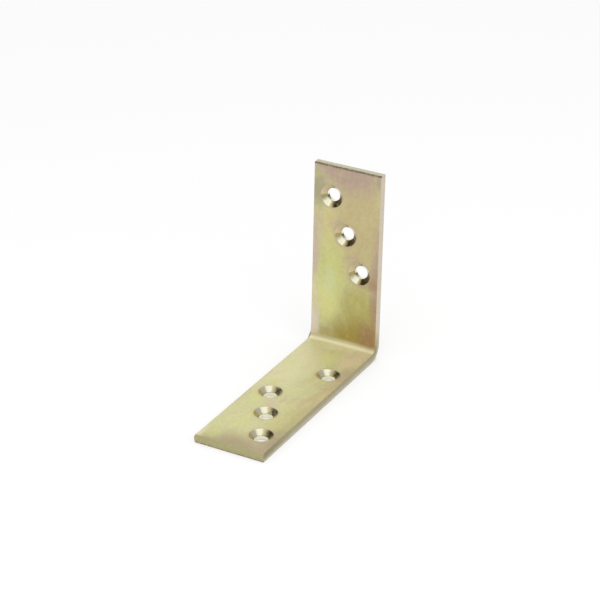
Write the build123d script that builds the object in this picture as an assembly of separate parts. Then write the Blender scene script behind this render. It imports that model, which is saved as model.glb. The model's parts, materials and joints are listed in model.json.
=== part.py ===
from build123d import *
import math
import os

# Angle bracket: one length of flat steel bar, sheared, drilled, countersunk and folded at a right angle.
#
# Millimetres, +Z up. The bracket stands on its foot, with the wall leg rising at the back (+Y). The
# origin is on the underside, in the middle of the bracket's width and length. The two legs are
# unequal, and every screw hole is countersunk from the inside of the angle.

# The bar
bar_width = 40.0
bar_thickness = 5.0
edge_radius = 0.4  # the rolled corners that run the length of the bar

# The legs, each measured over the outside of the fold
wall_height = 110.0
foot_length = 130.0

# The fold
inside_radius = 3.0
squeeze_out = 0.8  # how far the crushed inside of the fold stands proud of each long edge
draw_in = 0.15  # how far the stretched outside of the fold pulls in from each long edge
run_out = 4.0  # the length of straight leg over which both die away
fold_steps = 4  # sections through the turn, besides the one that starts it

# The sheared ends. The shear cuts one length from the next, so the two ends of a length are dragged
# over on opposite faces: the foot's end on the inside of the angle, the wall leg's on the outside.
shear_drag = 1.5  # radius of the corner that the blade drags over
shear_lean = 0.12  # how far the corner across the cut from it, where the metal tears, stands back

# The screw holes
hole_diameter = 7.5
sink_diameter = 13.0
sink_angle = 90.0
wall_hole_stagger = 9.0  # across the bar, from the middle hole to the outer ones
wall_hole_shift = -0.3  # across the bar, from its middle line to the middle hole
wall_hole_pitch = 21.0  # along the leg, from one hole to the next
wall_hole_inset = 18.0  # from the sheared end of the leg to the nearest hole
foot_hole_stagger = 9.0
foot_hole_shift = 0.5
foot_hole_pitch = 21.0
foot_hole_inset = 16.5
lone_hole_reach = 40.0  # from the back of the wall leg to the hole beside the fold
lone_hole_shift = 9.6

# What follows from them
back = foot_length / 2
tip = back - foot_length
outside_radius = inside_radius + bar_thickness
sink_depth = (sink_diameter - hole_diameter) / 2 / math.tan(math.radians(sink_angle / 2))
cutter_reach = 2 * bar_thickness  # what a cutter passes a face by


def section(station, swell):
    """The bar's section, square to the bar at a station whose origin is on its outer face.

    Swell runs from 0, the plain bar, to 1, the middle of the fold, where the inside is squeezed
    wider than the bar and the outside is drawn narrower.
    """
    outer_half = bar_width / 2 - draw_in * swell
    inner_half = bar_width / 2 + squeeze_out * swell
    outline = Polyline(
        (-outer_half, 0),
        (outer_half, 0),
        (inner_half, bar_thickness),
        (-inner_half, bar_thickness),
        close=True,
    )
    face = make_face(outline)
    return station * fillet(face.vertices(), edge_radius)


def station_on_wall(height):
    """Section plane across the wall leg, its first axis across the bar and its second one inwards."""
    return Plane(origin=(0, back, height), x_dir=(1, 0, 0), z_dir=(0, 0, -1))


def station_in_fold(turn):
    """Section plane in the fold, after so many degrees of turn from the wall leg towards the foot."""
    angle = math.radians(turn)
    centre_y, centre_z = back - outside_radius, outside_radius
    place = (0, centre_y + outside_radius * math.cos(angle), centre_z - outside_radius * math.sin(angle))
    heading = (0, -math.sin(angle), -math.cos(angle))
    return Plane(origin=place, x_dir=(1, 0, 0), z_dir=heading)


def station_on_foot(reach):
    """Section plane across the foot, at a distance from the back of the wall leg."""
    return Plane(origin=(0, back - reach, 0), x_dir=(1, 0, 0), z_dir=(0, -1, 0))


def swell_at(distance, length):
    """How far the swelling has grown at a distance along the fold: 0 at both ends, 1 in the middle."""
    return math.sin(math.pi * distance / length) ** 2


def fold():
    """The folded stretch of bar, with the short straight lead on each side of it."""
    turn_length = outside_radius * math.pi / 2
    length = turn_length + 2 * run_out
    lead_in = station_on_wall(outside_radius + run_out)
    lead_out = station_on_foot(outside_radius + run_out)
    turn_start, turn_middle, turn_end = (station_in_fold(turn) for turn in (0, 45, 90))
    path = (
        Line(lead_in.origin, turn_start.origin)
        + ThreePointArc(turn_start.origin, turn_middle.origin, turn_end.origin)
        + Line(turn_end.origin, lead_out.origin)
    )
    sections = [section(lead_in, 0.0)]
    for step in range(fold_steps + 1):
        share = step / fold_steps
        swell = swell_at(run_out + share * turn_length, length)
        sections.append(section(station_in_fold(90 * share), swell))
    sections.append(section(lead_out, 0.0))
    return sweep(sections, path=path, multisection=True)


def straight_leg(station, length):
    """A straight stretch of plain bar, from a station on, for a length."""
    return extrude(section(station, 0.0), length)


def folded_bar():
    """The whole strip, folded, with square ends and no holes."""
    start = outside_radius + run_out
    wall_leg = straight_leg(station_on_wall(wall_height), wall_height - start)
    foot = straight_leg(station_on_foot(start), foot_length - start)
    return wall_leg + fold() + foot


def shear_waste(end):
    """What the shear takes off one end of the bar.

    The end plane's origin is on the face where the cut tears, its first axis points through the bar
    to the dragged face and its second one out along the bar.
    """
    corner = bar_thickness - shear_drag
    cut = Line((-cutter_reach, -shear_lean), (0, -shear_lean))
    lean = Line(cut @ 1, (corner / 2, 0))
    flat = Line(lean @ 1, (corner, 0))
    drag = RadiusArc(flat @ 1, (bar_thickness, -shear_drag), shear_drag)
    face_side = Line(drag @ 1, (bar_thickness + cutter_reach, -shear_drag))
    beyond = Polyline(
        face_side @ 1,
        (bar_thickness + cutter_reach, cutter_reach),
        (-cutter_reach, cutter_reach),
        cut @ 0,
    )
    waste = make_face(cut + lean + flat + drag + face_side + beyond)
    return extrude(end * waste, bar_width, both=True)


def wall_end():
    """Plane of the wall leg's sheared end, torn on the inside of the angle and dragged outside."""
    return Plane(origin=(0, back - bar_thickness, wall_height), x_dir=(0, 1, 0), z_dir=(1, 0, 0))


def foot_end():
    """Plane of the foot's sheared end, torn on the outside of the angle and dragged inside."""
    return Plane(origin=(0, tip, 0), x_dir=(0, 0, 1), z_dir=(1, 0, 0))


def screw_hole():
    """Cutter for one countersunk hole, its axis on Z, with the countersunk face at Z = 0."""
    half_angle = math.radians(sink_angle / 2)
    mouth = sink_diameter / 2 + cutter_reach * math.tan(half_angle)
    outline = Polyline(
        (0, -bar_thickness - cutter_reach),
        (hole_diameter / 2, -bar_thickness - cutter_reach),
        (hole_diameter / 2, -sink_depth),
        (mouth, cutter_reach),
        (0, cutter_reach),
        close=True,
    )
    return revolve(Plane.XZ * make_face(outline), Axis.Z)


def wall_holes():
    """Where the three wall holes break the inside face, from the sheared end down towards +X."""
    face = Plane(origin=(0, back - bar_thickness, wall_height), x_dir=(1, 0, 0), z_dir=(0, -1, 0))
    across = (-wall_hole_stagger, 0, wall_hole_stagger)
    return [
        face * Pos(wall_hole_shift + x, -(wall_hole_inset + place * wall_hole_pitch), 0)
        for place, x in enumerate(across)
    ]


def foot_holes():
    """Where the four foot holes break the top face: three from the tip towards -X, and one by the fold."""
    face = Plane(origin=(0, tip, bar_thickness), x_dir=(1, 0, 0), z_dir=(0, 0, 1))
    across = (foot_hole_stagger, 0, -foot_hole_stagger)
    row = [
        face * Pos(foot_hole_shift + x, foot_hole_inset + place * foot_hole_pitch, 0)
        for place, x in enumerate(across)
    ]
    return row + [face * Pos(lone_hole_shift, foot_length - lone_hole_reach, 0)]


def angle_bracket():
    """The finished bracket."""
    bracket = folded_bar() - shear_waste(wall_end()) - shear_waste(foot_end())
    cutter = screw_hole()
    for place in wall_holes() + foot_holes():
        bracket -= place * cutter
    return bracket


os.makedirs("parts", exist_ok=True)
export_step(angle_bracket(), "parts/angle_bracket.step")
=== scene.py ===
import json
import math

import bmesh
import bpy
from mathutils import Matrix, Quaternion, Vector, noise


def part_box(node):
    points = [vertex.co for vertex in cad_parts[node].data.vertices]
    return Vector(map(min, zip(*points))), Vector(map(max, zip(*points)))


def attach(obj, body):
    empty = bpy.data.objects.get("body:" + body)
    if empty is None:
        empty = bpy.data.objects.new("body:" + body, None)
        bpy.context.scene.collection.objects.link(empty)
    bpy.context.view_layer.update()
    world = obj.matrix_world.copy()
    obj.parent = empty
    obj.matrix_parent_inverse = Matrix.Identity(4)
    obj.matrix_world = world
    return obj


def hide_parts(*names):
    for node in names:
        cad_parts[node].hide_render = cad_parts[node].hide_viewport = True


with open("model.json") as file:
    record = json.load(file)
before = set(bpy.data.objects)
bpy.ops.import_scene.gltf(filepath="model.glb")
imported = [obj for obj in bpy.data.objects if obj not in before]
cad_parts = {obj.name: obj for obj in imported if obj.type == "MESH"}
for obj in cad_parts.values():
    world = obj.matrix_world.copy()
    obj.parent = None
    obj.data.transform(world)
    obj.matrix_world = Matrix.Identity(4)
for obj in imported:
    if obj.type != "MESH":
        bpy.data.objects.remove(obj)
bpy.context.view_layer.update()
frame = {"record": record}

bl_info = {
    "name": "Angle bracket",
    "version": (1, 0, 0),
    "blender": (4, 5, 0),
    "location": "View3D > Sidebar > Bracket",
    "description": "Builds a folded, yellow zinc plated angle bracket and the plain stage it stands on",
    "category": "Add Mesh",
}

# The frame, in metres
LOW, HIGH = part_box("angle_bracket")
BORES = [mount for mount in frame["record"]["mounts"] if mount["kind"] == "bore"]
HOLES = [(Vector(mount["pos_m"]), Vector(mount["axis"])) for mount in BORES]
ACROSS, ALONG, UP = Vector((1, 0, 0)), Vector((0, 1, 0)), Vector((0, 0, 1))
MM = 0.001
BORE_RADIUS = BORES[0]["dims"]["r_mm"] * MM


def length(label, text, size):
    """A length that a user can change, in metres."""
    return bpy.props.FloatProperty(name=label, description=text, default=size, unit="LENGTH", precision=5)


def colour(label, text, tint):
    """A colour that a user can change, in linear light."""
    return bpy.props.FloatVectorProperty(
        name=label, description=text, default=tint, subtype="COLOR", size=3, min=0.0, max=1.0
    )


class BarSizes(bpy.types.PropertyGroup):
    """The flat bar, its fold and its sheared ends."""

    width: length("Bar width", "Across the flat bar", 40 * MM)
    thickness: length("Bar thickness", "From the outer face to the inner one", 5 * MM)
    edge_radius: length("Edge radius", "Rolled corners along the bar", 0.4 * MM)
    inside_radius: length("Inside radius", "Radius of the fold on the inside of the angle", 3 * MM)
    draw_in: length("Draw in", "How far the outside of the fold pulls in from each edge", 0.15 * MM)
    run_out: length("Run out", "Straight length over which the swelling of the fold dies away", 4 * MM)
    shear_drag: length("Shear drag", "Radius of the corner that the blade drags over", 1.5 * MM)
    shear_lean: length("Shear lean", "How far the torn half of the cut leans back", 0.12 * MM)
    tear_depth: length("Tear depth", "How rough the torn half of the cut is", 0.18 * MM)
    tear_break: length("Tear break", "How far the cut falls back at the corner where it tears", 0.4 * MM)
    tip_spread: length("Tip spread", "How far the shear spreads the corner that it enters by", 0.65 * MM)
    flat_wave: length("Flat wave", "How far the rolled faces dip from true", 0.03 * MM)
    edge_wave: length("Edge wave", "How far the rolled corners wander from true", 0.05 * MM)


class HoleSizes(bpy.types.PropertyGroup):
    """The countersunk screw holes."""

    sink_diameter: length("Sink diameter", "Mouth of the countersink", 13 * MM)
    lip: length("Lip", "Rounding of the countersink's rim", 0.16 * MM)
    exit_break: length("Exit break", "Rounding of the hole where it leaves the bar", 0.2 * MM)
    ring_pitch: length("Ring pitch", "From one ring left by the cutter to the next", 0.3 * MM)
    ring_depth: length("Ring depth", "Depth of those rings", 0.012 * MM)


class FilmColours(bpy.types.PropertyGroup):
    """The colours of the passivation film on the zinc, of the zinc where the film is thin, and of the
    light and shade painted over them.
    """

    aqua: colour("Aqua", "The film's next order, in small patches", (0.59, 0.64, 0.34))
    lime: colour("Lime", "Yellow with a green cast", (0.59, 0.59, 0.22))
    lemon: colour("Lemon", "A brighter yellow, on both sides of the fold", (0.69, 0.67, 0.28))
    straw: colour("Straw", "The film's usual colour on the rolled faces", (0.57, 0.55, 0.28))
    honey: colour("Honey", "A warmer yellow, beside the wall leg's holes", (0.65, 0.54, 0.23))
    # This colour also paints light on the foot next to the fold.
    pale: colour("Pale", "Where the film is thin", (0.66, 0.62, 0.36))
    milk: colour("Milk", "A milky film, low on the wall leg's left edge", (0.70, 0.62, 0.49))
    # This colour also paints the lighter sector of the countersinks.
    peach: colour("Peach", "A thin, warm film, by the fold and in the countersinks", (0.71, 0.60, 0.38))
    cream: colour("Cream", "The thinnest film, on the wall leg's narrow sides", (0.60, 0.52, 0.40))
    # This colour is a painted highlight, in the hollow of the fold.
    crest: colour("Crest", "Burnished by the press, in the hollow of the fold", (0.78, 0.73, 0.45))
    gold: colour("Gold", "Where the film is a little thicker than straw", (0.54, 0.45, 0.23))
    pink: colour("Pink", "A thin film next to the long edges", (0.57, 0.46, 0.34))
    mauve: colour("Mauve", "Where the film is thick", (0.46, 0.34, 0.26))
    rust: colour("Rust", "Thick film that has run and dried", (0.38, 0.23, 0.11))
    sage: colour("Sage", "Grey green, near the top corners", (0.40, 0.37, 0.22))
    moss: colour("Moss", "A darker green, on the right half of both legs", (0.48, 0.44, 0.15))
    # This colour is painted shade: low on the wall leg by the fold, and in the countersinks' shaded
    # sector.
    olive: colour("Olive", "The thickest film, by the fold and in the countersinks", (0.41, 0.32, 0.085))
    tan: colour("Tan", "By the foot's tip and along its right edge", (0.37, 0.31, 0.165))
    shorn: colour("Shorn", "The foot's sheared end", (0.41, 0.37, 0.185))
    # This colour is painted shade along the foot's narrow sides, next to the inside of the angle.
    umber: colour("Umber", "Along the foot's narrow sides, next to the inside", (0.34, 0.29, 0.165))
    ash: colour("Ash", "The rest of the foot's narrow sides", (0.47, 0.44, 0.31))
    cut: colour("Cut", "The sheared top end", (0.51, 0.48, 0.35))
    # This colour is the dark specks, and painted shade too: along the torn edges, on the fold's swelling,
    # on the foot's narrow sides by the tip and in the countersinks.
    burnt: colour("Burnt", "Film caught along torn edges, in specks and in the holes", (0.09, 0.07, 0.03))
    # This colour is a painted highlight, in the countersinks' bright sector.
    bare: colour("Bare", "Bright zinc in the countersinks", (0.73, 0.71, 0.54))
    bore: colour("Bore", "Zinc with a thin film in the bores", (0.93, 0.90, 0.70))


class StageSettings(bpy.types.PropertyGroup):
    """The floor and the light."""

    floor: colour("Floor", "The plain floor", (0.86, 0.86, 0.86))
    fill: bpy.props.FloatProperty(
        name="Floor fill",
        description="How far the floor is evened to white",
        default=0.6,
        min=0.0,
        max=1.0,
        subtype="FACTOR",
    )
    pool: length("Floor pool", "Distance past which metal mirrors no white floor", 0.8)
    room: bpy.props.FloatProperty(
        name="Room", description="Brightness of the room's even light", default=0.95, min=0.0
    )
    key_strength: bpy.props.FloatProperty(
        name="Key light", description="Power of the softbox", default=3.8, min=0.0, unit="POWER"
    )


# What makes and shapes every mesh
TOUCH = 0.001 * MM  # what counts as the same place


def new_piece(name, bm):
    """A mesh object made from a bmesh, which it frees."""
    mesh = bpy.data.meshes.new(name)
    bm.to_mesh(mesh)
    bm.free()
    piece = bpy.data.objects.new(name, mesh)
    bpy.context.scene.collection.objects.link(piece)
    return piece


def drop_piece(piece):
    """Takes a working piece out of the file again."""
    mesh = piece.data
    bpy.data.objects.remove(piece)
    bpy.data.meshes.remove(mesh)


def apply_modifiers(piece):
    """Gives a piece the mesh that its modifiers make of it."""
    graph = bpy.context.evaluated_depsgraph_get()
    mesh = bpy.data.meshes.new_from_object(piece.evaluated_get(graph), depsgraph=graph)
    piece.modifiers.clear()
    old = piece.data
    piece.data = mesh
    bpy.data.meshes.remove(old)


def carry(bm, wire, centre=None, turn=0.0, step=None, steps=1):
    """Sweeps a wire round an axis across the bar, or on by equal steps, and returns where it ends."""
    return bmesh.ops.spin(
        bm,
        geom=wire,
        cent=centre or Vector(),
        axis=ACROSS,
        dvec=step or Vector(),
        angle=turn,
        steps=steps,
        use_merge=False,
        use_duplicate=False,
    )["geom_last"]


def round_corners(bm, corners, radius, segments):
    """Rounds the corners of a flat outline."""
    bmesh.ops.bevel(
        bm, geom=corners, affect="VERTICES", offset=radius, segments=segments, profile=0.5, material=-1
    )


def keep_outline(bm):
    """Takes away the face of a flat outline and returns what is left, as a wire."""
    bmesh.ops.delete(bm, geom=bm.faces[:], context="FACES_ONLY")
    return bm.verts[:] + bm.edges[:]


def close_ends(bm):
    """Closes both ends of a swept wire, with every face outwards."""
    bmesh.ops.holes_fill(bm, edges=[edge for edge in bm.edges if edge.is_boundary], sides=0)
    bmesh.ops.recalc_face_normals(bm, faces=bm.faces[:])


def put(target, source, place):
    """Adds a copy of one bmesh to another, moved to a place."""
    mesh = bpy.data.meshes.new("put")
    source.to_mesh(mesh)
    mesh.transform(place)
    target.from_mesh(mesh)
    bpy.data.meshes.remove(mesh)


def hill(place):
    """Smooth noise from 0 to 1, with hills about one unit across."""
    return 0.5 + 0.5 * noise.noise(place)


# The folded bar
GRAIN = 1 * MM  # the spacing of the mesh on the rolled faces
SPARE = 1 * MM  # the length of bar that the shear takes off each end
EDGE_STEPS = 5  # round a rolled corner
FOLD_STEPS = 30
TIP_REACH = 2.5 * MM  # how far back from the tip its corner is spread
TIP_FACE_SHARE = 0.35  # how much of that spread the bar's two faces get
TIP_FALL = 16  # the power by which it dies away from the bar's edge


def bar_section(bm, bar):
    """The bar's outline as a closed wire, square to the foot and just past its tip."""
    half = bar.width / 2
    start = LOW.y - SPARE
    corners = [
        bm.verts.new((across, start, up))
        for across, up in ((-half, 0), (half, 0), (half, bar.thickness), (-half, bar.thickness))
    ]
    bm.faces.new(corners)
    round_corners(bm, corners, bar.edge_radius, EDGE_STEPS)
    for edge in list(bm.edges):
        cuts = round(edge.calc_length() / GRAIN) - 1
        if cuts > 0:
            bmesh.ops.subdivide_edges(bm, edges=[edge], cuts=cuts)
    return keep_outline(bm)


def swell_fold(bm, bar):
    """Crushes the inside of the fold out past the long edges and draws the outside of it in."""
    outside = bar.inside_radius + bar.thickness
    centre = Vector((0, HIGH.y - outside, LOW.z + outside))
    turn_length = outside * math.pi / 2
    full_length = turn_length + 2 * bar.run_out
    bulge = HIGH.x - bar.width / 2
    for vert in bm.verts:
        offset = vert.co - centre
        if offset.y < 0:
            depth, along = vert.co.z - LOW.z, turn_length - offset.y
        elif offset.z > 0:
            depth, along = HIGH.y - vert.co.y, -offset.z
        else:
            depth = outside - math.hypot(offset.y, offset.z)
            along = outside * math.atan2(-offset.z, offset.y)
        along += bar.run_out
        if not 0 < along < full_length:
            continue
        swell = math.sin(math.pi * along / full_length) ** 2
        share = min(1.0, depth / (bar.thickness - bar.edge_radius))
        spread = swell * (share * (bulge + bar.draw_in) - bar.draw_in)
        vert.co.x *= 1 + spread / (bar.width / 2)


def spread_tip(bm, bar):
    """Rounds the tip's left corner out, as the shear leaves the side that its blade meets first."""
    for vert in bm.verts:
        near_tip = min(1.0, 1 - (vert.co.y - LOW.y) / TIP_REACH)
        if vert.co.x < 0 < near_tip:
            between_faces = math.sin(math.pi * min(1.0, max(0.0, vert.co.z / bar.thickness)))
            share = TIP_FACE_SHARE + (1 - TIP_FACE_SHARE) * between_faces
            near_edge = (vert.co.x / (bar.width / 2)) ** TIP_FALL
            vert.co.x -= bar.tip_spread * near_tip**2 * share * near_edge


def folded_bar(bar):
    """The whole bar, folded, a little too long at both ends."""
    outside = bar.inside_radius + bar.thickness
    bm = bmesh.new()
    wire = bar_section(bm, bar)
    foot = HIGH.y - outside - (LOW.y - SPARE)
    foot_steps = round(foot / GRAIN)
    wire = carry(bm, wire, step=ALONG * foot / foot_steps, steps=foot_steps)
    centre = Vector((0, HIGH.y - outside, LOW.z + outside))
    wire = carry(bm, wire, centre=centre, turn=math.pi / 2, steps=FOLD_STEPS)
    wall = HIGH.z + SPARE - outside
    wall_steps = round(wall / GRAIN)
    carry(bm, wire, step=UP * wall / wall_steps, steps=wall_steps)
    close_ends(bm)
    swell_fold(bm, bar)
    spread_tip(bm, bar)
    return new_piece("folded_bar", bm)


# The sheared ends. Waves are counted to the metre, across the bar and through it, and each noise is
# read in a slice of its own.
BLADE_PAST = 1.5 * MM  # what the shear passes the bar by
BLADE_CLEAR = 0.02 * MM  # what keeps the waste's face off the bar's
BLADE_GRAIN = 0.35 * MM  # the spacing of the cut's mesh across the bar
BLADE_ROWS = 36  # and the cuts in it through the bar
DRAG_STEPS = 8
TEAR_REACH = 0.5  # how far through the bar the tear reaches, as a share of it
TEAR_WANDER = 0.1  # and how far that line wanders
TEAR_LINE_WAVES = 350
TEAR_LINE_SLICE = 7
TEAR_WAVES = (900, 1400)
TEAR_SLICE = 3
TEAR_FRACTAL = (0.9, 2.1, 4)  # how the finer noise fades, how much finer each one is, and how many
TEAR_RISE = 4  # how soon below that line the tear gets its full roughness
SCORE_WAVES = (2600, 60)
SCORE_SLICE = 11
SCORE_MIDDLE = 0.25  # of the scores that the blade leaves in the cut, as a share of their depth
SCORE_DEPTH = 0.03 * MM


def torn(place, bar):
    """How far back the cut stands at a place on it, across the bar and by depth from the torn face.

    The blade leaves a smooth band next to the corner that it drags over, and tears the other half.
    """
    across, depth = place.x, place.z
    wander = noise.noise(Vector((across * TEAR_LINE_WAVES, 0, TEAR_LINE_SLICE)))
    tear_line = bar.thickness * (TEAR_REACH + TEAR_WANDER * wander)
    below = max(0.0, (tear_line - depth) / tear_line)
    in_tear = Vector((across * TEAR_WAVES[0], depth * TEAR_WAVES[1], TEAR_SLICE))
    rough = 0.5 + 0.5 * noise.fractal(in_tear, *TEAR_FRACTAL)
    in_scores = Vector((across * SCORE_WAVES[0], depth * SCORE_WAVES[1], SCORE_SLICE))
    score = SCORE_MIDDLE + (1 - SCORE_MIDDLE) * noise.noise(in_scores)
    corner = max(0.0, 1 - depth / (2 * bar.tear_break))
    return (
        bar.shear_lean * below
        + bar.tear_break * corner**2
        + bar.tear_depth * min(1.0, TEAR_RISE * below) * max(0.0, min(1.0, rough))
        + SCORE_DEPTH * max(0.0, score)
    )


def shear_waste(bar):
    """What the shear takes off one end.

    X is across the bar, Y goes out along it, and Z is the depth from the face where the cut tears.
    """
    bm = bmesh.new()
    out = 2 * SPARE
    span = bar.width + 2 * BLADE_PAST
    inner = bar.thickness + BLADE_CLEAR
    beyond = bar.thickness + BLADE_PAST
    outline = (
        (-BLADE_PAST, 0),
        (inner, 0),
        (inner, -2 * bar.shear_drag),
        (beyond, -2 * bar.shear_drag),
        (beyond, out),
        (-BLADE_PAST, out),
    )
    verts = [bm.verts.new((-span / 2, along, depth)) for depth, along in outline]
    bm.faces.new(verts)
    round_corners(bm, [verts[1]], bar.shear_drag, DRAG_STEPS)
    cut = [edge for edge in bm.edges if all(abs(vert.co.y) < TOUCH for vert in edge.verts)]
    bmesh.ops.subdivide_edges(bm, edges=cut, cuts=BLADE_ROWS)
    columns = round(span / BLADE_GRAIN)
    carry(bm, keep_outline(bm), step=ACROSS * span / columns, steps=columns)
    close_ends(bm)
    for vert in bm.verts:
        if vert.co.y < out / 2 and vert.co.z < inner - TOUCH:
            vert.co.y -= torn(vert.co, bar)
    return bm


# The screw holes
DRILL_PAST = 1.5 * MM  # what the drill and the countersink pass a face by
DRILL_FLARE = 0.2  # how steeply the waste leaves the face outside the rim
DRILL_STEPS = 96  # round a hole
LIP_STEPS = 4


def hole_waste(bar, hole):
    """What the drill and the countersink take out, on the Z axis, with the countersunk face at Z = 0."""
    bm = bmesh.new()
    radius = BORE_RADIUS
    mouth = hole.sink_diameter / 2
    sink = mouth - radius
    bottom = -bar.thickness
    outline = (
        (0, bottom - DRILL_PAST),
        (radius + hole.exit_break + DRILL_PAST, bottom - DRILL_PAST),
        (radius + hole.exit_break, bottom),
        (radius, bottom + hole.exit_break),
        (radius, -sink),
        (mouth, 0),
        (mouth + DRILL_PAST, DRILL_FLARE * DRILL_PAST),
        (mouth + DRILL_PAST, DRILL_PAST),
        (0, DRILL_PAST),
    )
    verts = [bm.verts.new((across, 0, up)) for across, up in outline]
    cone_foot, rim = verts[4:6]
    for here, there in zip(verts, verts[1:]):
        bm.edges.new((here, there))
    round_corners(bm, [rim], hole.lip, LIP_STEPS)
    cone = max(cone_foot.link_edges, key=lambda edge: edge.other_vert(cone_foot).co.x)
    rings = 2 * round(cone.calc_length() / hole.ring_pitch)
    along_cone = bmesh.ops.subdivide_edges(bm, edges=[cone], cuts=rings - 1)["geom_inner"]
    outwards = Vector((1, 0, -1)).normalized()
    for vert in along_cone:
        if isinstance(vert, bmesh.types.BMVert):
            count = round((vert.co.x - radius) / (sink - hole.lip / math.sqrt(2)) * rings)
            vert.co += outwards * hole.ring_depth * (count % 2)
    bmesh.ops.spin(
        bm,
        geom=bm.verts[:] + bm.edges[:],
        cent=Vector(),
        axis=UP,
        angle=math.tau,
        steps=DRILL_STEPS,
        use_merge=True,
    )
    bmesh.ops.remove_doubles(bm, verts=bm.verts[:], dist=TOUCH)
    bmesh.ops.recalc_face_normals(bm, faces=bm.faces[:])
    return bm


def all_waste(bar, hole):
    """Everything that is sheared, drilled and countersunk out of the folded bar, in place."""
    bm = bmesh.new()
    end = shear_waste(bar)
    foot_end = Matrix(((1, 0, 0, 0), (0, -1, 0, LOW.y), (0, 0, 1, LOW.z), (0, 0, 0, 1)))
    wall_end = Matrix(((1, 0, 0, 0), (0, 0, 1, HIGH.y - bar.thickness), (0, 1, 0, HIGH.z), (0, 0, 0, 1)))
    put(bm, end, foot_end)
    put(bm, end, wall_end)
    end.free()
    drill = hole_waste(bar, hole)
    for middle, axis in HOLES:
        face = bar.thickness if axis.z else -(HIGH.y - bar.thickness)
        mouth = middle + axis * (face - middle.dot(axis))
        turn = UP.rotation_difference(axis).to_matrix().to_4x4()
        put(bm, drill, Matrix.Translation(mouth) @ turn)
    drill.free()
    bmesh.ops.recalc_face_normals(bm, faces=bm.faces[:])
    return new_piece("waste", bm)


def cut_away(piece, waste):
    """Takes the waste out of the piece."""
    cut = piece.modifiers.new("cut", "BOOLEAN")
    cut.operation = "DIFFERENCE"
    cut.solver = "MANIFOLD"
    cut.object = waste
    apply_modifiers(piece)
    drop_piece(waste)


# The surface, once it is cut. A facing is the cosine between a face and a direction.
CONE_FACING = 0.3  # past which a face in a hole is the countersink's, and under which it is the bore's
BACK_FACING = -0.9  # under which it is the bar's own outer face
END_FACING = 0.5  # past which a face at an end is the shear's
FLAT_WAVE_SIZE = 17 * MM
EDGE_WAVE_SIZE = 4 * MM
EDGE_WAVE_SLICE = Vector((5, 0, 0))
EDGE_WAVE_REACH = 1.5  # in edge radii, inwards from the bar's edge
SHARP_ANGLE = math.radians(34)

# Across a countersink in each leg, from its lit side to its shaded side, along which its light and shade
# are painted
WALL_SHADE_WAY = Vector((0.83, 0, -0.69))
FOOT_SHADE_WAY = Vector((0.44, 0.67, 0))


def new_marks(mesh, domain, *names):
    """New marks on a mesh, handed out once all are made, because making one can move another."""
    for name in names:
        mesh.attributes.new(name, "FLOAT", domain)
    return [mesh.attributes[name] for name in names]


def mark_holes(mesh, mouth):
    """Marks each vertex's distance from the nearest rim, in millimetres, and its side of the hole, from
    the lit side to the shaded one.
    """
    from_hole, hole_side = new_marks(mesh, "POINT", "from_hole", "hole_side")
    for vert in mesh.vertices:
        offsets = [
            (vert.co - middle - axis * axis.dot(vert.co - middle), FOOT_SHADE_WAY if axis.z else WALL_SHADE_WAY)
            for middle, axis in HOLES
        ]
        nearest, shade_way = min(offsets, key=lambda pair: pair[0].length)
        from_hole.data[vert.index].value = (nearest.length - mouth) / MM
        hole_side.data[vert.index].value = nearest.normalized().dot(shade_way)


def mark_worked_faces(mesh, bar, hole):
    """Marks the faces that the tools cut, because the film takes differently on them."""
    mouth = hole.sink_diameter / 2
    mark_holes(mesh, mouth)
    machined, bored, sheared = new_marks(mesh, "FACE", "machined", "bored", "sheared")
    for face in mesh.polygons:
        for middle, axis in HOLES:
            facing = face.normal.dot(axis)
            if axis.cross(face.center - middle).length < mouth - hole.lip / 2 and facing > BACK_FACING:
                worked = machined if facing > CONE_FACING else bored
                worked.data[face.index].value = 1.0
        at_tip = face.center.y < LOW.y + bar.shear_drag and face.normal.y < -END_FACING
        at_top = face.center.z > HIGH.z - bar.shear_drag and face.normal.z > END_FACING
        if at_tip or at_top:
            sheared.data[face.index].value = 1.0


def work_surface(mesh, bar):
    """Gives the rolled faces slight hollows and the rolled corners some wander, never outwards."""
    shifts = []
    for vert in mesh.vertices:
        hollow = hill(vert.co / FLAT_WAVE_SIZE)
        from_edge = bar.width / 2 - abs(vert.co.x)
        corner = max(0.0, 1 - from_edge / (EDGE_WAVE_REACH * bar.edge_radius))
        wander = hill(vert.co / EDGE_WAVE_SIZE + EDGE_WAVE_SLICE)
        shifts.append(hollow * bar.flat_wave + corner * wander * bar.edge_wave)
    normals = [vert.normal.copy() for vert in mesh.vertices]
    for vert, normal, shift in zip(mesh.vertices, normals, shifts):
        vert.co -= normal * shift


def smooth_piece(piece):
    """Smooth shading that stays flat on the flats and breaks at the true edges."""
    piece.data.shade_smooth()
    piece.data.set_sharp_from_angle(angle=SHARP_ANGLE)
    weigh = piece.modifiers.new("weigh", "WEIGHTED_NORMAL")
    weigh.keep_sharp = True
    apply_modifiers(piece)


class Wire:
    """One output in a node tree. Plain arithmetic on it adds Math nodes."""

    def __init__(self, nodes, socket):
        self.nodes = nodes
        self.socket = socket

    def math(self, operation, *others):
        """A Math node whose first value is this."""
        inputs = dict(enumerate((self, *others)))
        return self.nodes.add("ShaderNodeMath", {"operation": operation}, inputs)

    def __add__(self, other):
        return self.math("ADD", other)

    def __radd__(self, other):
        return self.math("ADD", other)

    def __sub__(self, other):
        return self.math("SUBTRACT", other)

    def __rsub__(self, other):
        return self.nodes.add("ShaderNodeMath", {"operation": "SUBTRACT"}, {0: other, 1: self})

    def __mul__(self, other):
        return self.math("MULTIPLY", other)

    def __rmul__(self, other):
        return self.math("MULTIPLY", other)

    def over(self, band):
        """Rises smoothly from 0 to 1 as this passes from the start of a band to its end."""
        low, high = band
        return self.nodes.add(
            "ShaderNodeMapRange",
            {"interpolation_type": "SMOOTHSTEP"},
            {"Value": self, "From Min": low, "From Max": high},
        )

    def under(self, band):
        """Falls smoothly from 1 to 0 over the same band."""
        return 1 - self.over(band)


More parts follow.
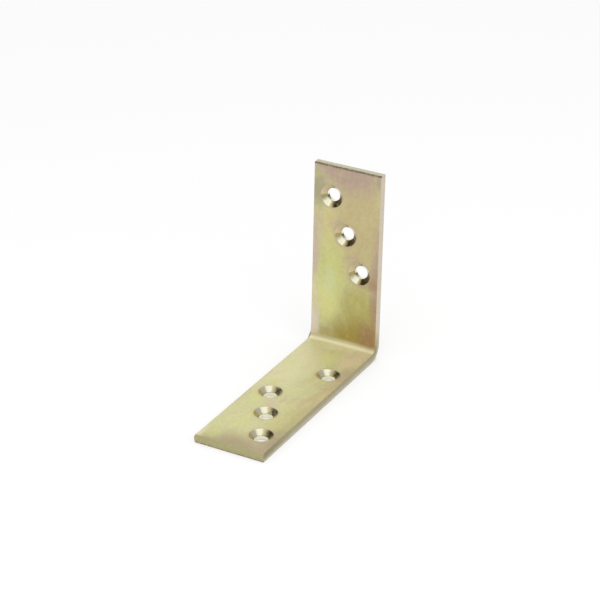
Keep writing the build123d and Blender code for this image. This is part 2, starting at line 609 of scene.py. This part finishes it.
class Nodes:
    """A material's or the world's node tree, emptied to be filled again."""

    def __init__(self, owner):
        owner.use_nodes = True
        self.tree = owner.node_tree
        self.tree.nodes.clear()

    def add(self, kind, settings=None, inputs=None, output=0):
        """Adds a node: its settings first, then the values or links of its sockets."""
        node = self.tree.nodes.new(kind)
        for name, value in (settings or {}).items():
            if name == "stops":
                self.set_stops(node.color_ramp, value)
            else:
                setattr(node, name, value)
        for name, value in (inputs or {}).items():
            if isinstance(value, Wire):
                self.tree.links.new(value.socket, node.inputs[name])
            else:
                node.inputs[name].default_value = value
        return Wire(self, node.outputs[output]) if node.outputs else None

    def set_stops(self, ramp, stops):
        """Places a ramp's stops, each a position and a colour."""
        for position, _ in stops[len(ramp.elements):]:
            ramp.elements.new(position)
        for stop, (position, tint) in zip(ramp.elements, stops):
            stop.position = position
            stop.color = opaque(tint)

    def vector(self, operation, first, second=(0, 0, 0), output=0):
        """Vector arithmetic."""
        return self.add("ShaderNodeVectorMath", {"operation": operation}, {0: first, 1: second}, output)

    def size(self, vector):
        """The length of a vector."""
        return self.vector("LENGTH", vector, output=1)

    def split(self, vector):
        """The three parts of a vector."""
        parts = self.add("ShaderNodeSeparateXYZ", None, {0: vector})
        return [Wire(self, socket) for socket in parts.socket.node.outputs]

    def blend(self, share, first, second, how="MIX"):
        """A colour that goes from the first to the second as the share goes from 0 to 1."""
        settings = {"data_type": "RGBA", "blend_type": how, "clamp_factor": True}
        inputs = {0: share, 6: opaque(first), 7: opaque(second)}
        return self.add("ShaderNodeMix", settings, inputs, output=2)

    def clouds(self, place, size, detail=2.0, roughness=0.5, output=0):
        """Soft noise about 0.5, with features of about a size in the units of the place."""
        return self.add(
            "ShaderNodeTexNoise",
            {"noise_dimensions": "3D", "normalize": True},
            {"Vector": place, "Scale": 1 / size, "Detail": detail, "Roughness": roughness},
            output,
        )


def opaque(tint):
    """A colour as a node's socket takes it, if it isn't a wire."""
    return tint if isinstance(tint, Wire) else (*tint, 1.0)


def grey(level):
    """A grey, in linear light."""
    return (level, level, level)


# The film on the rolled faces. From here on to the end of the finish, sizes and places are in
# millimetres, a band is where one look gives way to the next, and a share runs from 0 to 1.
DRAWN_OUT = (1, 0.5, 0.4)  # what places are multiplied by, so that the pattern is longer along the bar
WARP_SIZE = 7
WARP_ACROSS = 6.0  # how far the outlines of the patches wander across the bar
WARP_ALONG = 4.0  # and along the foot
WARP_UP = 6.0  # and up the wall leg
FOOT_WARP_BAND = (5, 8)  # up from the underside, where they stop wandering along
WALL_WARP_BAND = (7, 20)  # and where they start to wander up
FILM_SIZE = 9
FILM_STOPS = ((0.30, "lime"), (0.42, "straw"), (0.58, "straw"), (0.70, "gold"))
PATCH_BAND = (0.3, 1.0)  # as shares of a patch's reach
VEILS = (("mauve", 0), ("lemon", 40))  # the thin veils over the patches, and where each reads its noise
VEIL_SIZE = 5
VEIL_BAND = (0.48, 0.75)
VEIL_SHARE = 0.22

# Where the film changes on the faces inside the angle, and where some patches paint light and shade: the
# middle of a patch, how far it reaches each way, its colour and how strong it is.
FILM_PATCHES = (
    ((8, 60, 78), (24, 6, 46), "gold", 1.0),
    ((-12, 60, 76), (10, 6, 26), "straw", 0.7),
    ((-9, 60, 44), (14, 6, 34), "lime", 1.0),
    ((-10, 60, 76), (7, 6, 16), "honey", 0.6),
    ((-16, 60, 74), (5, 6, 14), "pink", 0.4),
    ((-11, 60, 29), (9, 6, 17), "lemon", 0.8),
    ((-9, 60, 42), (6, 6, 13), "aqua", 0.6),
    ((9, 60, 28), (14, 6, 19), "moss", 1.0),
    ((-20, 60, 56), (5, 6, 44), "pink", 0.9),
    ((2, 60, 112), (32, 6, 23), "mauve", 1.0),
    ((2, 60, 113), (34, 6, 14), "mauve", 0.7),
    ((-17, 60, 95), (7, 6, 15), "sage", 1.0),
    ((20, 60, 108), (5, 6, 8), "sage", 0.5),
    ((20, 60, 48), (6, 6, 46), "mauve", 0.9),
    ((14, 60, 45), (8, 6, 6), "rust", 0.45),
    ((19, 60, 27), (6, 6, 18), "rust", 0.5),
    ((19, 60, 48), (6, 6, 10), "rust", 0.3),
    # Painted shade, low on the wall leg by the fold.
    ((7, 60, 9), (22, 6, 19), "olive", 1.0),
    ((15, 60, 12), (8, 6, 14), "rust", 0.9),
    ((-12, 60, 10), (5, 6, 5), "rust", 0.35),
    ((-19, 60, 30), (6, 6, 20), "pale", 0.9),
    ((-20, 60, 14), (7, 6, 14), "milk", 1.0),
    ((-12, 30, 5), (20, 48, 5), "pale", 0.8),
    # Painted light on the foot next to the fold.
    ((2, 56, 5), (26, 11, 4), "pale", 1.0),
    # A painted highlight along the hollow of the fold.
    ((2, 57, 5), (20, 8, 4), "crest", 0.7),
    ((2, 45, 5), (8, 9, 5), "lemon", 0.5),
    ((14, 46, 5), (11, 15, 5), "peach", 0.9),
    ((20, 8, 5), (9, 54, 5), "gold", 0.7),
    ((17, 28, 5), (7, 13, 5), "mauve", 0.5),
    ((15, -32, 5), (13, 24, 5), "moss", 0.5),
    ((20, -24, 5), (8, 26, 5), "tan", 0.35),
    ((14, 13, 5), (8, 8, 5), "mauve", 0.35),
    ((4.8, 24, 4), (3, 5, 4), "rust", 0.6),
    ((-21, 0, 5), (3, 70, 5), "pink", 0.5),
    ((-15, 27, 5), (4, 6, 4), "lime", 0.4),
    ((-12, 4, 5), (5, 6, 4), "lime", 0.5),
    ((-11, -18, 5), (4, 6, 4), "lime", 0.4),
    ((-2, -17, 5), (5, 6, 4), "pink", 0.7),
    ((21, -50, 5), (14, 20, 5), "tan", 1.0),
    ((5, -68, 4), (40, 23, 9), "tan", 1.0),
    ((-21, -60, 5), (6, 12, 5), "pale", 0.8),
    ((13, -57, 5), (9, 8, 5), "mauve", 0.35),
    ((-13, -57, 5), (5, 8, 5), "lime", 0.5),
    ((-5, 60, 76), (7, 6, 6), "mauve", 0.5),
    ((6, 60, 57), (8, 6, 6), "mauve", 0.4),
    # Painted shade on the fold's swelling at the wall leg's left edge.
    ((-20.4, 59.6, 7), (1.8, 1.6, 1.6), "burnt", 1.0),
)


def film_tone(nodes, colours, place):
    """The film's colour over the whole piece."""
    drawn = nodes.vector("MULTIPLY", place, DRAWN_OUT)
    up = nodes.split(place)[2]
    warp_reach = nodes.add(
        "ShaderNodeCombineXYZ",
        None,
        {0: WARP_ACROSS, 1: WARP_ALONG * up.under(FOOT_WARP_BAND), 2: WARP_UP * up.over(WALL_WARP_BAND)},
    )
    warp = nodes.vector("SUBTRACT", nodes.clouds(drawn, WARP_SIZE, output=1), (0.5, 0.5, 0.5))
    warped = nodes.vector("ADD", place, nodes.vector("MULTIPLY", warp, warp_reach))
    stops = [(position, getattr(colours, name)) for position, name in FILM_STOPS]
    film = nodes.clouds(drawn, FILM_SIZE, detail=5, roughness=0.55)
    tone = nodes.add("ShaderNodeValToRGB", {"stops": stops}, {"Fac": film})
    for middle, reach, name, strength in FILM_PATCHES:
        offset = nodes.vector("DIVIDE", nodes.vector("SUBTRACT", warped, middle), reach)
        share = nodes.size(offset).under(PATCH_BAND) * strength
        tone = nodes.blend(share, tone, getattr(colours, name))
    for name, start in VEILS:
        moved = nodes.vector("ADD", drawn, (start, 0, 0))
        veil = nodes.clouds(moved, VEIL_SIZE, detail=5, roughness=0.6)
        tone = nodes.blend(veil.over(VEIL_BAND) * VEIL_SHARE, tone, getattr(colours, name))
    return tone


# What every look over that film reads
WOBBLE_SIZE = 1.6  # of the noise that keeps the bands uneven
DEPTH_WOBBLE = 1.6  # how far it shifts the depth, which is measured from the inside of the angle


class Skin:
    """What every part of the finish reads: its place, the marks on the faces, noise, and the colours."""

    def __init__(self, nodes, colours, bar):
        self.nodes = nodes
        self.colours = colours
        metres = nodes.add("ShaderNodeTexCoord", output=3)
        to_millimetres = {0: metres, "Scale": 1 / MM}
        self.place = nodes.add("ShaderNodeVectorMath", {"operation": "SCALE"}, to_millimetres)
        self.across, self.along, self.up = nodes.split(self.place)
        self.wobble = nodes.clouds(self.place, WOBBLE_SIZE, detail=3, roughness=0.7)
        self.sheared = self.mark("sheared")
        self.machined = self.mark("machined")
        self.bored = self.mark("bored")
        self.from_hole = self.mark("from_hole")
        self.hole_side = self.mark("hole_side")
        outside = (bar.inside_radius + bar.thickness) / MM
        self.fold_along, self.fold_up = HIGH.y / MM - outside, LOW.z / MM + outside
        out = (self.along - self.fold_along).math("MAXIMUM", 0.0)
        down = (self.fold_up - self.up).math("MAXIMUM", 0.0)
        depth = distance(out, down) - bar.inside_radius / MM
        self.uneven_depth = depth + DEPTH_WOBBLE * (self.wobble - 0.5)

    def mark(self, name):
        """A mark on the faces or the vertices."""
        return self.nodes.add("ShaderNodeAttribute", {"attribute_name": name}, output=2)


def distance(one, other):
    """How far a place is from a line, by its offsets from it in two directions."""
    return (one * one + other * other).math("SQRT")


# The painted highlight in the hollow of the fold, and its gold fringe
HIGHLIGHT_PLACE = (1.3, -2.75)  # along and up, from the middle of the fold's curve
HIGHLIGHT_BAND = (0.3, 2.2)  # out from there
HIGHLIGHT_SHARE = 0.8
HIGHLIGHT_FADE_BAND = (1.4, 3.6)  # the painted highlight's gold fringe on the wall leg's side, out from the same line
HIGHLIGHT_FADE_START = (5.5, 6.5)  # and up from the underside
HIGHLIGHT_FADE_SHARE = 0.6


def fold_highlight_tone(skin, tone):
    """A painted highlight along the hollow of the fold, and a painted gold fringe round it on the wall
    leg's side, where it fades.
    """
    nodes, colours = skin.nodes, skin.colours
    along = skin.along - (skin.fold_along + HIGHLIGHT_PLACE[0])
    up = skin.up - (skin.fold_up + HIGHLIGHT_PLACE[1])
    from_highlight = distance(along, up)
    highlight_fade = from_highlight.under(HIGHLIGHT_FADE_BAND) * skin.up.over(HIGHLIGHT_FADE_START) * HIGHLIGHT_FADE_SHARE
    tone = nodes.blend(highlight_fade, tone, colours.gold)
    return nodes.blend(from_highlight.under(HIGHLIGHT_BAND) * HIGHLIGHT_SHARE, tone, colours.crest)


SIDE_BAND = (-0.38, -0.1)  # out across the bar, from its narrow side
# From the inside of the angle, over which the painted shade on the narrow sides fades
SIDE_DEPTH_BAND = (1.6, 4.2)
SIDE_WALL_BAND = (6, 22)  # up from the underside, where the foot's colours turn into the wall leg's
TIP_DARK_BAND = (7, 33)  # along the foot from its tip
TIP_DARK_DEPTH = (2.4, 4.4)
TIP_DARK_SHARE = 0.35


def side_tone(skin, tone, half_width):
    """The narrow sides, with painted shade: the foot's are painted darker next to the inside of the
    angle, and darker still there towards the tip.
    """
    nodes, colours = skin.nodes, skin.colours
    # Painted shade: darker next to the inside of the angle.
    side = nodes.blend(skin.uneven_depth.over(SIDE_DEPTH_BAND), colours.umber, colours.ash)
    # Painted shade, darker still towards the tip.
    by_tip = (skin.along - LOW.y / MM).under(TIP_DARK_BAND)
    dark = by_tip * skin.uneven_depth.under(TIP_DARK_DEPTH) * TIP_DARK_SHARE
    side = nodes.blend(dark, side, colours.burnt)
    side = nodes.blend(skin.up.over(SIDE_WALL_BAND), side, colours.cream)
    from_side = skin.across.math("ABSOLUTE") - half_width
    return nodes.blend(from_side.over(SIDE_BAND), tone, side)


TOP_BAND = (-10, -2)  # up to the wall leg's end
# In from the inside face, over which the top end's painted shade gives way to its cut colour
TOP_DEPTH_BAND = (0.8, 2.0)
RAG_SIZE = 1.0
RAG_REACH = 3.4  # how far the painted shade frays out from a torn edge
TORN_BAND = (-1.2, -0.5)
TORN_SHARE = 0.85
TIP_TORN_LESS = 0.2  # how much narrower it is at the tip than at the top


def end_tone(skin, tone, thickness):
    """The sheared ends, with painted shade: the top end darker next to the inside face, and frayed dark
    bands along the torn edges.
    """
    nodes, colours = skin.nodes, skin.colours
    from_top = skin.up - HIGH.z / MM
    at_top = from_top.over(TOP_BAND)
    cut = nodes.blend(at_top, colours.shorn, colours.ash)
    # Painted shade: the top end is darker next to the inside face.
    cut = nodes.blend(at_top * skin.uneven_depth.over(TOP_DEPTH_BAND), cut, colours.cut)
    tone = nodes.blend(skin.sheared, tone, cut)
    from_inside = (skin.along - (HIGH.y / MM - thickness)).math("ABSOLUTE")
    top_edge = from_inside.math("MAXIMUM", from_top.math("ABSOLUTE"))
    from_tip = (skin.along - LOW.y / MM).math("ABSOLUTE")
    tip_edge = from_tip.math("MAXIMUM", skin.up.math("ABSOLUTE"))
    # Painted shade, frayed along the torn edges.
    rags = RAG_REACH * nodes.clouds(skin.place, RAG_SIZE, detail=3, roughness=0.8)
    torn_edge = top_edge.math("MINIMUM", tip_edge + TIP_TORN_LESS) - rags
    return nodes.blend(torn_edge.under(TORN_BAND) * TORN_SHARE, tone, colours.burnt)


SPECK_SIZE = 2.5
SPECK_BAND = (0.66, 0.74)  # of the noise that makes them
SPECK_SHARE = 0.35
SPECKLED_PLACE = 52  # along the foot, where there are more of them
SPECKLED_BAND = (4, 9)  # to either side of there
SPECKLED_GAIN = 0.07
MOTTLE_SHARE = 0.2


def speck_tone(skin, tone):
    """Dark specks, and a fine mottle over everything but the holes."""
    nodes, colours = skin.nodes, skin.colours
    by_fold = (skin.along - SPECKLED_PLACE).math("ABSOLUTE").under(SPECKLED_BAND)
    specks = nodes.clouds(skin.place, SPECK_SIZE, detail=5, roughness=0.75) + SPECKLED_GAIN * by_fold
    tone = nodes.blend(specks.over(SPECK_BAND) * SPECK_SHARE, tone, colours.burnt)
    mottle = nodes.blend(skin.wobble, grey(0), grey(1))
    return nodes.blend(MOTTLE_SHARE, tone, mottle, how="OVERLAY")


# The painted light and shade of a countersink's sectors run from its lit side, at -1, to its shaded side,
# at 1
SECTOR_WOBBLE = 0.25
LIT_SECTOR_BAND = (-0.84, -0.74)
LIT_SECTOR_SHARE = 0.8
SHADED_SECTOR_BAND = (-0.52, -0.32)
SHADED_SECTOR_SHARE = 0.75
POLISHED_HIGHLIGHT_BAND = (0.36, 0.62)
DARK_SECTOR_BAND = (0.56, 0.90)
DARK_SECTOR_WOBBLE = (0.2, 0.5)
DARK_SECTOR_SHARE = 0.9
BORE_EDGE_BAND = (0.1, 0.3)  # to either side of the edge between countersink and bore
BORE_EDGE_SHARE = 0.5
BORE_SHARE = 0.9


def hole_tone(skin, tone, sink_width):
    """The bores, and the countersinks' sectors with their light and shade painted: a lighter sector, an
    olive shade, a bright zinc highlight and a dark sector, with a dark ring where countersink meets bore;
    and with them how bright the zinc is there.
    """
    nodes, colours = skin.nodes, skin.colours
    tone = nodes.blend(skin.bored * BORE_SHARE, tone, colours.bore)
    sector = skin.hole_side + SECTOR_WOBBLE * (skin.wobble - 0.5)
    # Painted light and shade, sector by sector
    lit_sector = sector.under(LIT_SECTOR_BAND)
    shaded_sector = (1 - lit_sector) * sector.under(SHADED_SECTOR_BAND)
    tone = nodes.blend(skin.machined * lit_sector * LIT_SECTOR_SHARE, tone, colours.peach)
    tone = nodes.blend(skin.machined * shaded_sector * SHADED_SECTOR_SHARE, tone, colours.olive)
    polished_highlight = skin.machined * sector.over(SHADED_SECTOR_BAND) * sector.under(POLISHED_HIGHLIGHT_BAND)
    tone = nodes.blend(polished_highlight, tone, colours.bare)
    dark_sector_and_ring = sector.over(DARK_SECTOR_BAND) * skin.wobble.over(DARK_SECTOR_WOBBLE) * DARK_SECTOR_SHARE
    bore_edge = (skin.from_hole + sink_width).math("ABSOLUTE").under(BORE_EDGE_BAND) * BORE_EDGE_SHARE
    dark_sector_and_ring = dark_sector_and_ring.math("MAXIMUM", bore_edge) * skin.machined
    tone = nodes.blend(dark_sector_and_ring, tone, colours.burnt)
    return tone, polished_highlight.math("MAXIMUM", skin.bored).math("MAXIMUM", dark_sector_and_ring)


HALO_BAND = (0.0, 2.2)  # out from a countersink's rim
HALO_WOBBLE = (0.35, 0.6)
HALO_SHARE = 0.5
GRAIN_SIZE = 0.6
GRAIN_STRENGTH = 0.06
GRAIN_HEIGHT = 0.2 * MM
FILM_METALLIC = 0.35
FILM_ROUGH = 0.40
GRAIN_ROUGH = 0.1  # what the grain adds to it, and what polish and the shear's cut do
POLISH_ROUGH = -0.18
CUT_ROUGH = 0.08


def plated_finish(colours, bar, hole):
    """Satin zinc under a yellow film, whose colour wanders as its thickness does, with light and shade
    painted into it: by the fold, along the narrow sides and torn edges, and in the countersinks.
    """
    material = bpy.data.materials.new("yellow_zinc_plate")
    nodes = Nodes(material)
    skin = Skin(nodes, colours, bar)
    tone = film_tone(nodes, colours, skin.place)
    halo = skin.from_hole.under(HALO_BAND) * skin.wobble.over(HALO_WOBBLE) * HALO_SHARE
    tone = nodes.blend(halo, tone, colours.mauve)
    tone = fold_highlight_tone(skin, tone)
    tone = side_tone(skin, tone, bar.width / 2 / MM)
    tone = end_tone(skin, tone, bar.thickness / MM)
    tone = speck_tone(skin, tone)
    tone, shiny = hole_tone(skin, tone, (hole.sink_diameter / 2 - BORE_RADIUS) / MM)
    grain = nodes.clouds(skin.place, GRAIN_SIZE, detail=4, roughness=0.6)
    rough = FILM_ROUGH + GRAIN_ROUGH * grain + POLISH_ROUGH * shiny + CUT_ROUGH * skin.sheared
    metallic = FILM_METALLIC + (1 - FILM_METALLIC) * shiny
    relief = {"Height": grain, "Strength": GRAIN_STRENGTH, "Distance": GRAIN_HEIGHT}
    bump = nodes.add("ShaderNodeBump", None, relief)
    plate = {"Base Color": tone, "Metallic": metallic, "Roughness": rough, "Normal": bump}
    metal = nodes.add("ShaderNodeBsdfPrincipled", None, plate)
    nodes.add("ShaderNodeOutputMaterial", None, {"Surface": metal})
    return material


class BRACKET_OT_bracket(bpy.types.Operator):
    """Makes the folded, sheared, drilled and plated bracket"""

    bl_idname = "bracket.make_bracket"
    bl_label = "Make the bracket"

    def execute(self, context):
        bar, hole = context.scene.bracket_bar, context.scene.bracket_holes
        piece = folded_bar(bar)
        cut_away(piece, all_waste(bar, hole))
        mark_worked_faces(piece.data, bar, hole)
        work_surface(piece.data, bar)
        smooth_piece(piece)
        piece.name = "plated_bracket"
        piece.data.materials.clear()
        piece.data.materials.append(plated_finish(context.scene.bracket_film, bar, hole))
        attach(piece, "root")
        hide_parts("angle_bracket")
        return {"FINISHED"}


# The camera
CAMERA_PLACE = Vector((473.66, -887.61, 567.58)) * MM
CAMERA_TARGET = Vector((1.062, 6.744, 55.806)) * MM
CAMERA_ROLL = math.radians(1.163)
CAMERA_LENS = 130.604  # millimetres, as the next one is
CAMERA_SENSOR = 36
CAMERA_NEAR = 10 * MM


def place_camera():
    """The camera of the photograph."""
    data = bpy.data.cameras.new("camera")
    data.lens = CAMERA_LENS
    data.sensor_width = CAMERA_SENSOR
    data.clip_start = CAMERA_NEAR
    camera = bpy.data.objects.new("camera", data)
    bpy.context.scene.collection.objects.link(camera)
    aim = (CAMERA_TARGET - CAMERA_PLACE).to_track_quat("-Z", "Y")
    camera.rotation_mode = "QUATERNION"
    camera.rotation_quaternion = aim @ Quaternion(UP, CAMERA_ROLL)
    camera.location = CAMERA_PLACE
    bpy.context.scene.camera = camera


# The light
KEY_TARGET = Vector((0, 0, 0.04))
KEY_WAY = Vector((0.38, -0.36, 0.85)).normalized()
KEY_DISTANCE = 0.9
KEY_SIZE = 1.0
ROOM_DARK = (0.07, 0.055, 0.03)

# What polished metal mirrors of the room: the way to the middle of each bright panel, the angles in
# degrees from there at which it starts and ends to fade, and how bright it is.
ROOM_PANELS = (
    ((-0.42, 0.78, 0.46), 24, 46, 1.0),  # the white sweep behind the object
    ((-0.36, 0.10, 0.93), 12, 30, 1.3),  # the ceiling
    ((-0.20, -0.52, 0.83), 8, 20, 0.5),  # the softbox's frame
    ((-0.42, -0.79, 0.45), 10, 24, 1.0),  # a white card at the front left
    ((0.56, 0.50, 0.66), 14, 34, 0.55),  # the dim wall at the back right
    ((0.80, -0.58, 0.16), 10, 24, 0.7),  # and the one at the front right
)


def place_softbox(power):
    """A square area lamp that faces the object."""
    data = bpy.data.lights.new("softbox", "AREA")
    data.shape = "SQUARE"
    data.size = KEY_SIZE
    data.energy = power
    lamp = bpy.data.objects.new("softbox", data)
    bpy.context.scene.collection.objects.link(lamp)
    lamp.location = KEY_TARGET + KEY_WAY * KEY_DISTANCE
    lamp.rotation_mode = "QUATERNION"
    lamp.rotation_quaternion = (-KEY_WAY).to_track_quat("-Z", "Y")
    lamp.visible_camera = False


def light_path(nodes):
    """Whether a ray comes from the camera, and whether it was mirrored or has gone through glass."""
    seen, glossy, through = (
        nodes.add("ShaderNodeLightPath", output=kind)
        for kind in ("Is Camera Ray", "Is Glossy Ray", "Is Transmission Ray")
    )
    return seen, glossy.math("MAXIMUM", through)


def light_world(settings):
    """White behind the object, even light on it, and bright panels in a dark room for it to mirror."""
    world = bpy.data.worlds.new("room")
    bpy.context.scene.world = world
    nodes = Nodes(world)
    way = nodes.add("ShaderNodeTexCoord", output=0)
    reflection = ROOM_DARK
    for toward, start, end, brightness in ROOM_PANELS:
        aim = nodes.vector("DOT_PRODUCT", way, Vector(toward).normalized(), output=1)
        share = aim.over((math.cos(math.radians(end)), math.cos(math.radians(start))))
        reflection = nodes.blend(share, reflection, grey(brightness))
    seen, mirrored = light_path(nodes)
    shown = nodes.blend(mirrored, grey(settings.room), reflection)
    shown = nodes.blend(seen, shown, grey(1))
    glow = nodes.add("ShaderNodeBackground", None, {"Color": shown, "Strength": 1.0})
    nodes.add("ShaderNodeOutputWorld", None, {"Surface": glow})


# The floor
FLOOR_HALF = 2.5
CONTACT_BAND = (0.0, 2 * MM)  # in from the bracket's outline, where the floor stops being evened to white


def lay_floor(settings):
    """A plain pale floor, white apart from the object's shadow, and dark far off in reflections."""
    bm = bmesh.new()
    bmesh.ops.create_grid(bm, x_segments=1, y_segments=1, size=FLOOR_HALF)
    floor = new_piece("floor", bm)
    material = bpy.data.materials.new("pale_floor")
    nodes = Nodes(material)
    place = nodes.add("ShaderNodeTexCoord", output=3)
    inside = nodes.vector("SUBTRACT", (HIGH.x, HIGH.y, 0), nodes.vector("ABSOLUTE", place))
    across, along, _ = nodes.split(inside)
    covered = across.math("MINIMUM", along).over(CONTACT_BAND)
    near = nodes.size(place).under((settings.pool / 2, settings.pool))
    seen, mirrored = light_path(nodes)
    lit = nodes.add("ShaderNodeBsdfDiffuse", None, {"Color": opaque(settings.floor)})
    white = nodes.add("ShaderNodeEmission", None, {"Color": opaque(grey(1)), "Strength": 1.0})
    black = nodes.add("ShaderNodeEmission", None, {"Color": opaque(grey(0)), "Strength": 0.0})
    bright = nodes.add("ShaderNodeMixShader", None, {0: settings.fill * (1 - covered), 1: lit, 2: white})
    faded = nodes.add("ShaderNodeMixShader", None, {0: near, 1: black, 2: bright})
    shown = nodes.add("ShaderNodeMixShader", None, {0: mirrored, 1: lit, 2: faded})
    shown = nodes.add("ShaderNodeMixShader", None, {0: seen, 1: shown, 2: bright})
    nodes.add("ShaderNodeOutputMaterial", None, {"Surface": shown})
    floor.data.materials.append(material)


class BRACKET_OT_stage(bpy.types.Operator):
    """Makes the floor, the light and the camera"""

    bl_idname = "bracket.make_stage"
    bl_label = "Make the stage"

    def execute(self, context):
        settings = context.scene.bracket_stage
        lay_floor(settings)
        light_world(settings)
        place_softbox(settings.key_strength)
        place_camera()
        context.scene.view_settings.view_transform = "Standard"
        return {"FINISHED"}


class BRACKET_PT_panel(bpy.types.Panel):
    """The bracket's sizes, colours and makers"""

    bl_label = "Angle bracket"
    bl_idname = "BRACKET_PT_panel"
    bl_space_type = "VIEW_3D"
    bl_region_type = "UI"
    bl_category = "Bracket"

    def draw(self, context):
        for maker in OPERATORS:
            self.layout.operator(maker.bl_idname)
        for name in SETTINGS:
            group = getattr(context.scene, name)
            box = self.layout.box()
            for item in group.bl_rna.properties:
                if item.identifier in group.__annotations__:
                    box.prop(group, item.identifier)


SETTINGS = {
    "bracket_bar": BarSizes,
    "bracket_holes": HoleSizes,
    "bracket_film": FilmColours,
    "bracket_stage": StageSettings,
}
OPERATORS = (BRACKET_OT_bracket, BRACKET_OT_stage)


def register():
    """Registers the settings, the operators and the panel."""
    for name, group in SETTINGS.items():
        bpy.utils.register_class(group)
        setattr(bpy.types.Scene, name, bpy.props.PointerProperty(type=group))
    for maker in OPERATORS:
        bpy.utils.register_class(maker)
    bpy.utils.register_class(BRACKET_PT_panel)


def unregister():
    """Takes them out again."""
    bpy.utils.unregister_class(BRACKET_PT_panel)
    for maker in reversed(OPERATORS):
        bpy.utils.unregister_class(maker)
    for name, group in reversed(SETTINGS.items()):
        delattr(bpy.types.Scene, name)
        bpy.utils.unregister_class(group)


def main():
    """Makes everything in order."""
    register()
    bpy.ops.bracket.make_bracket()
    bpy.ops.bracket.make_stage()


if __name__ == "__main__":
    main()
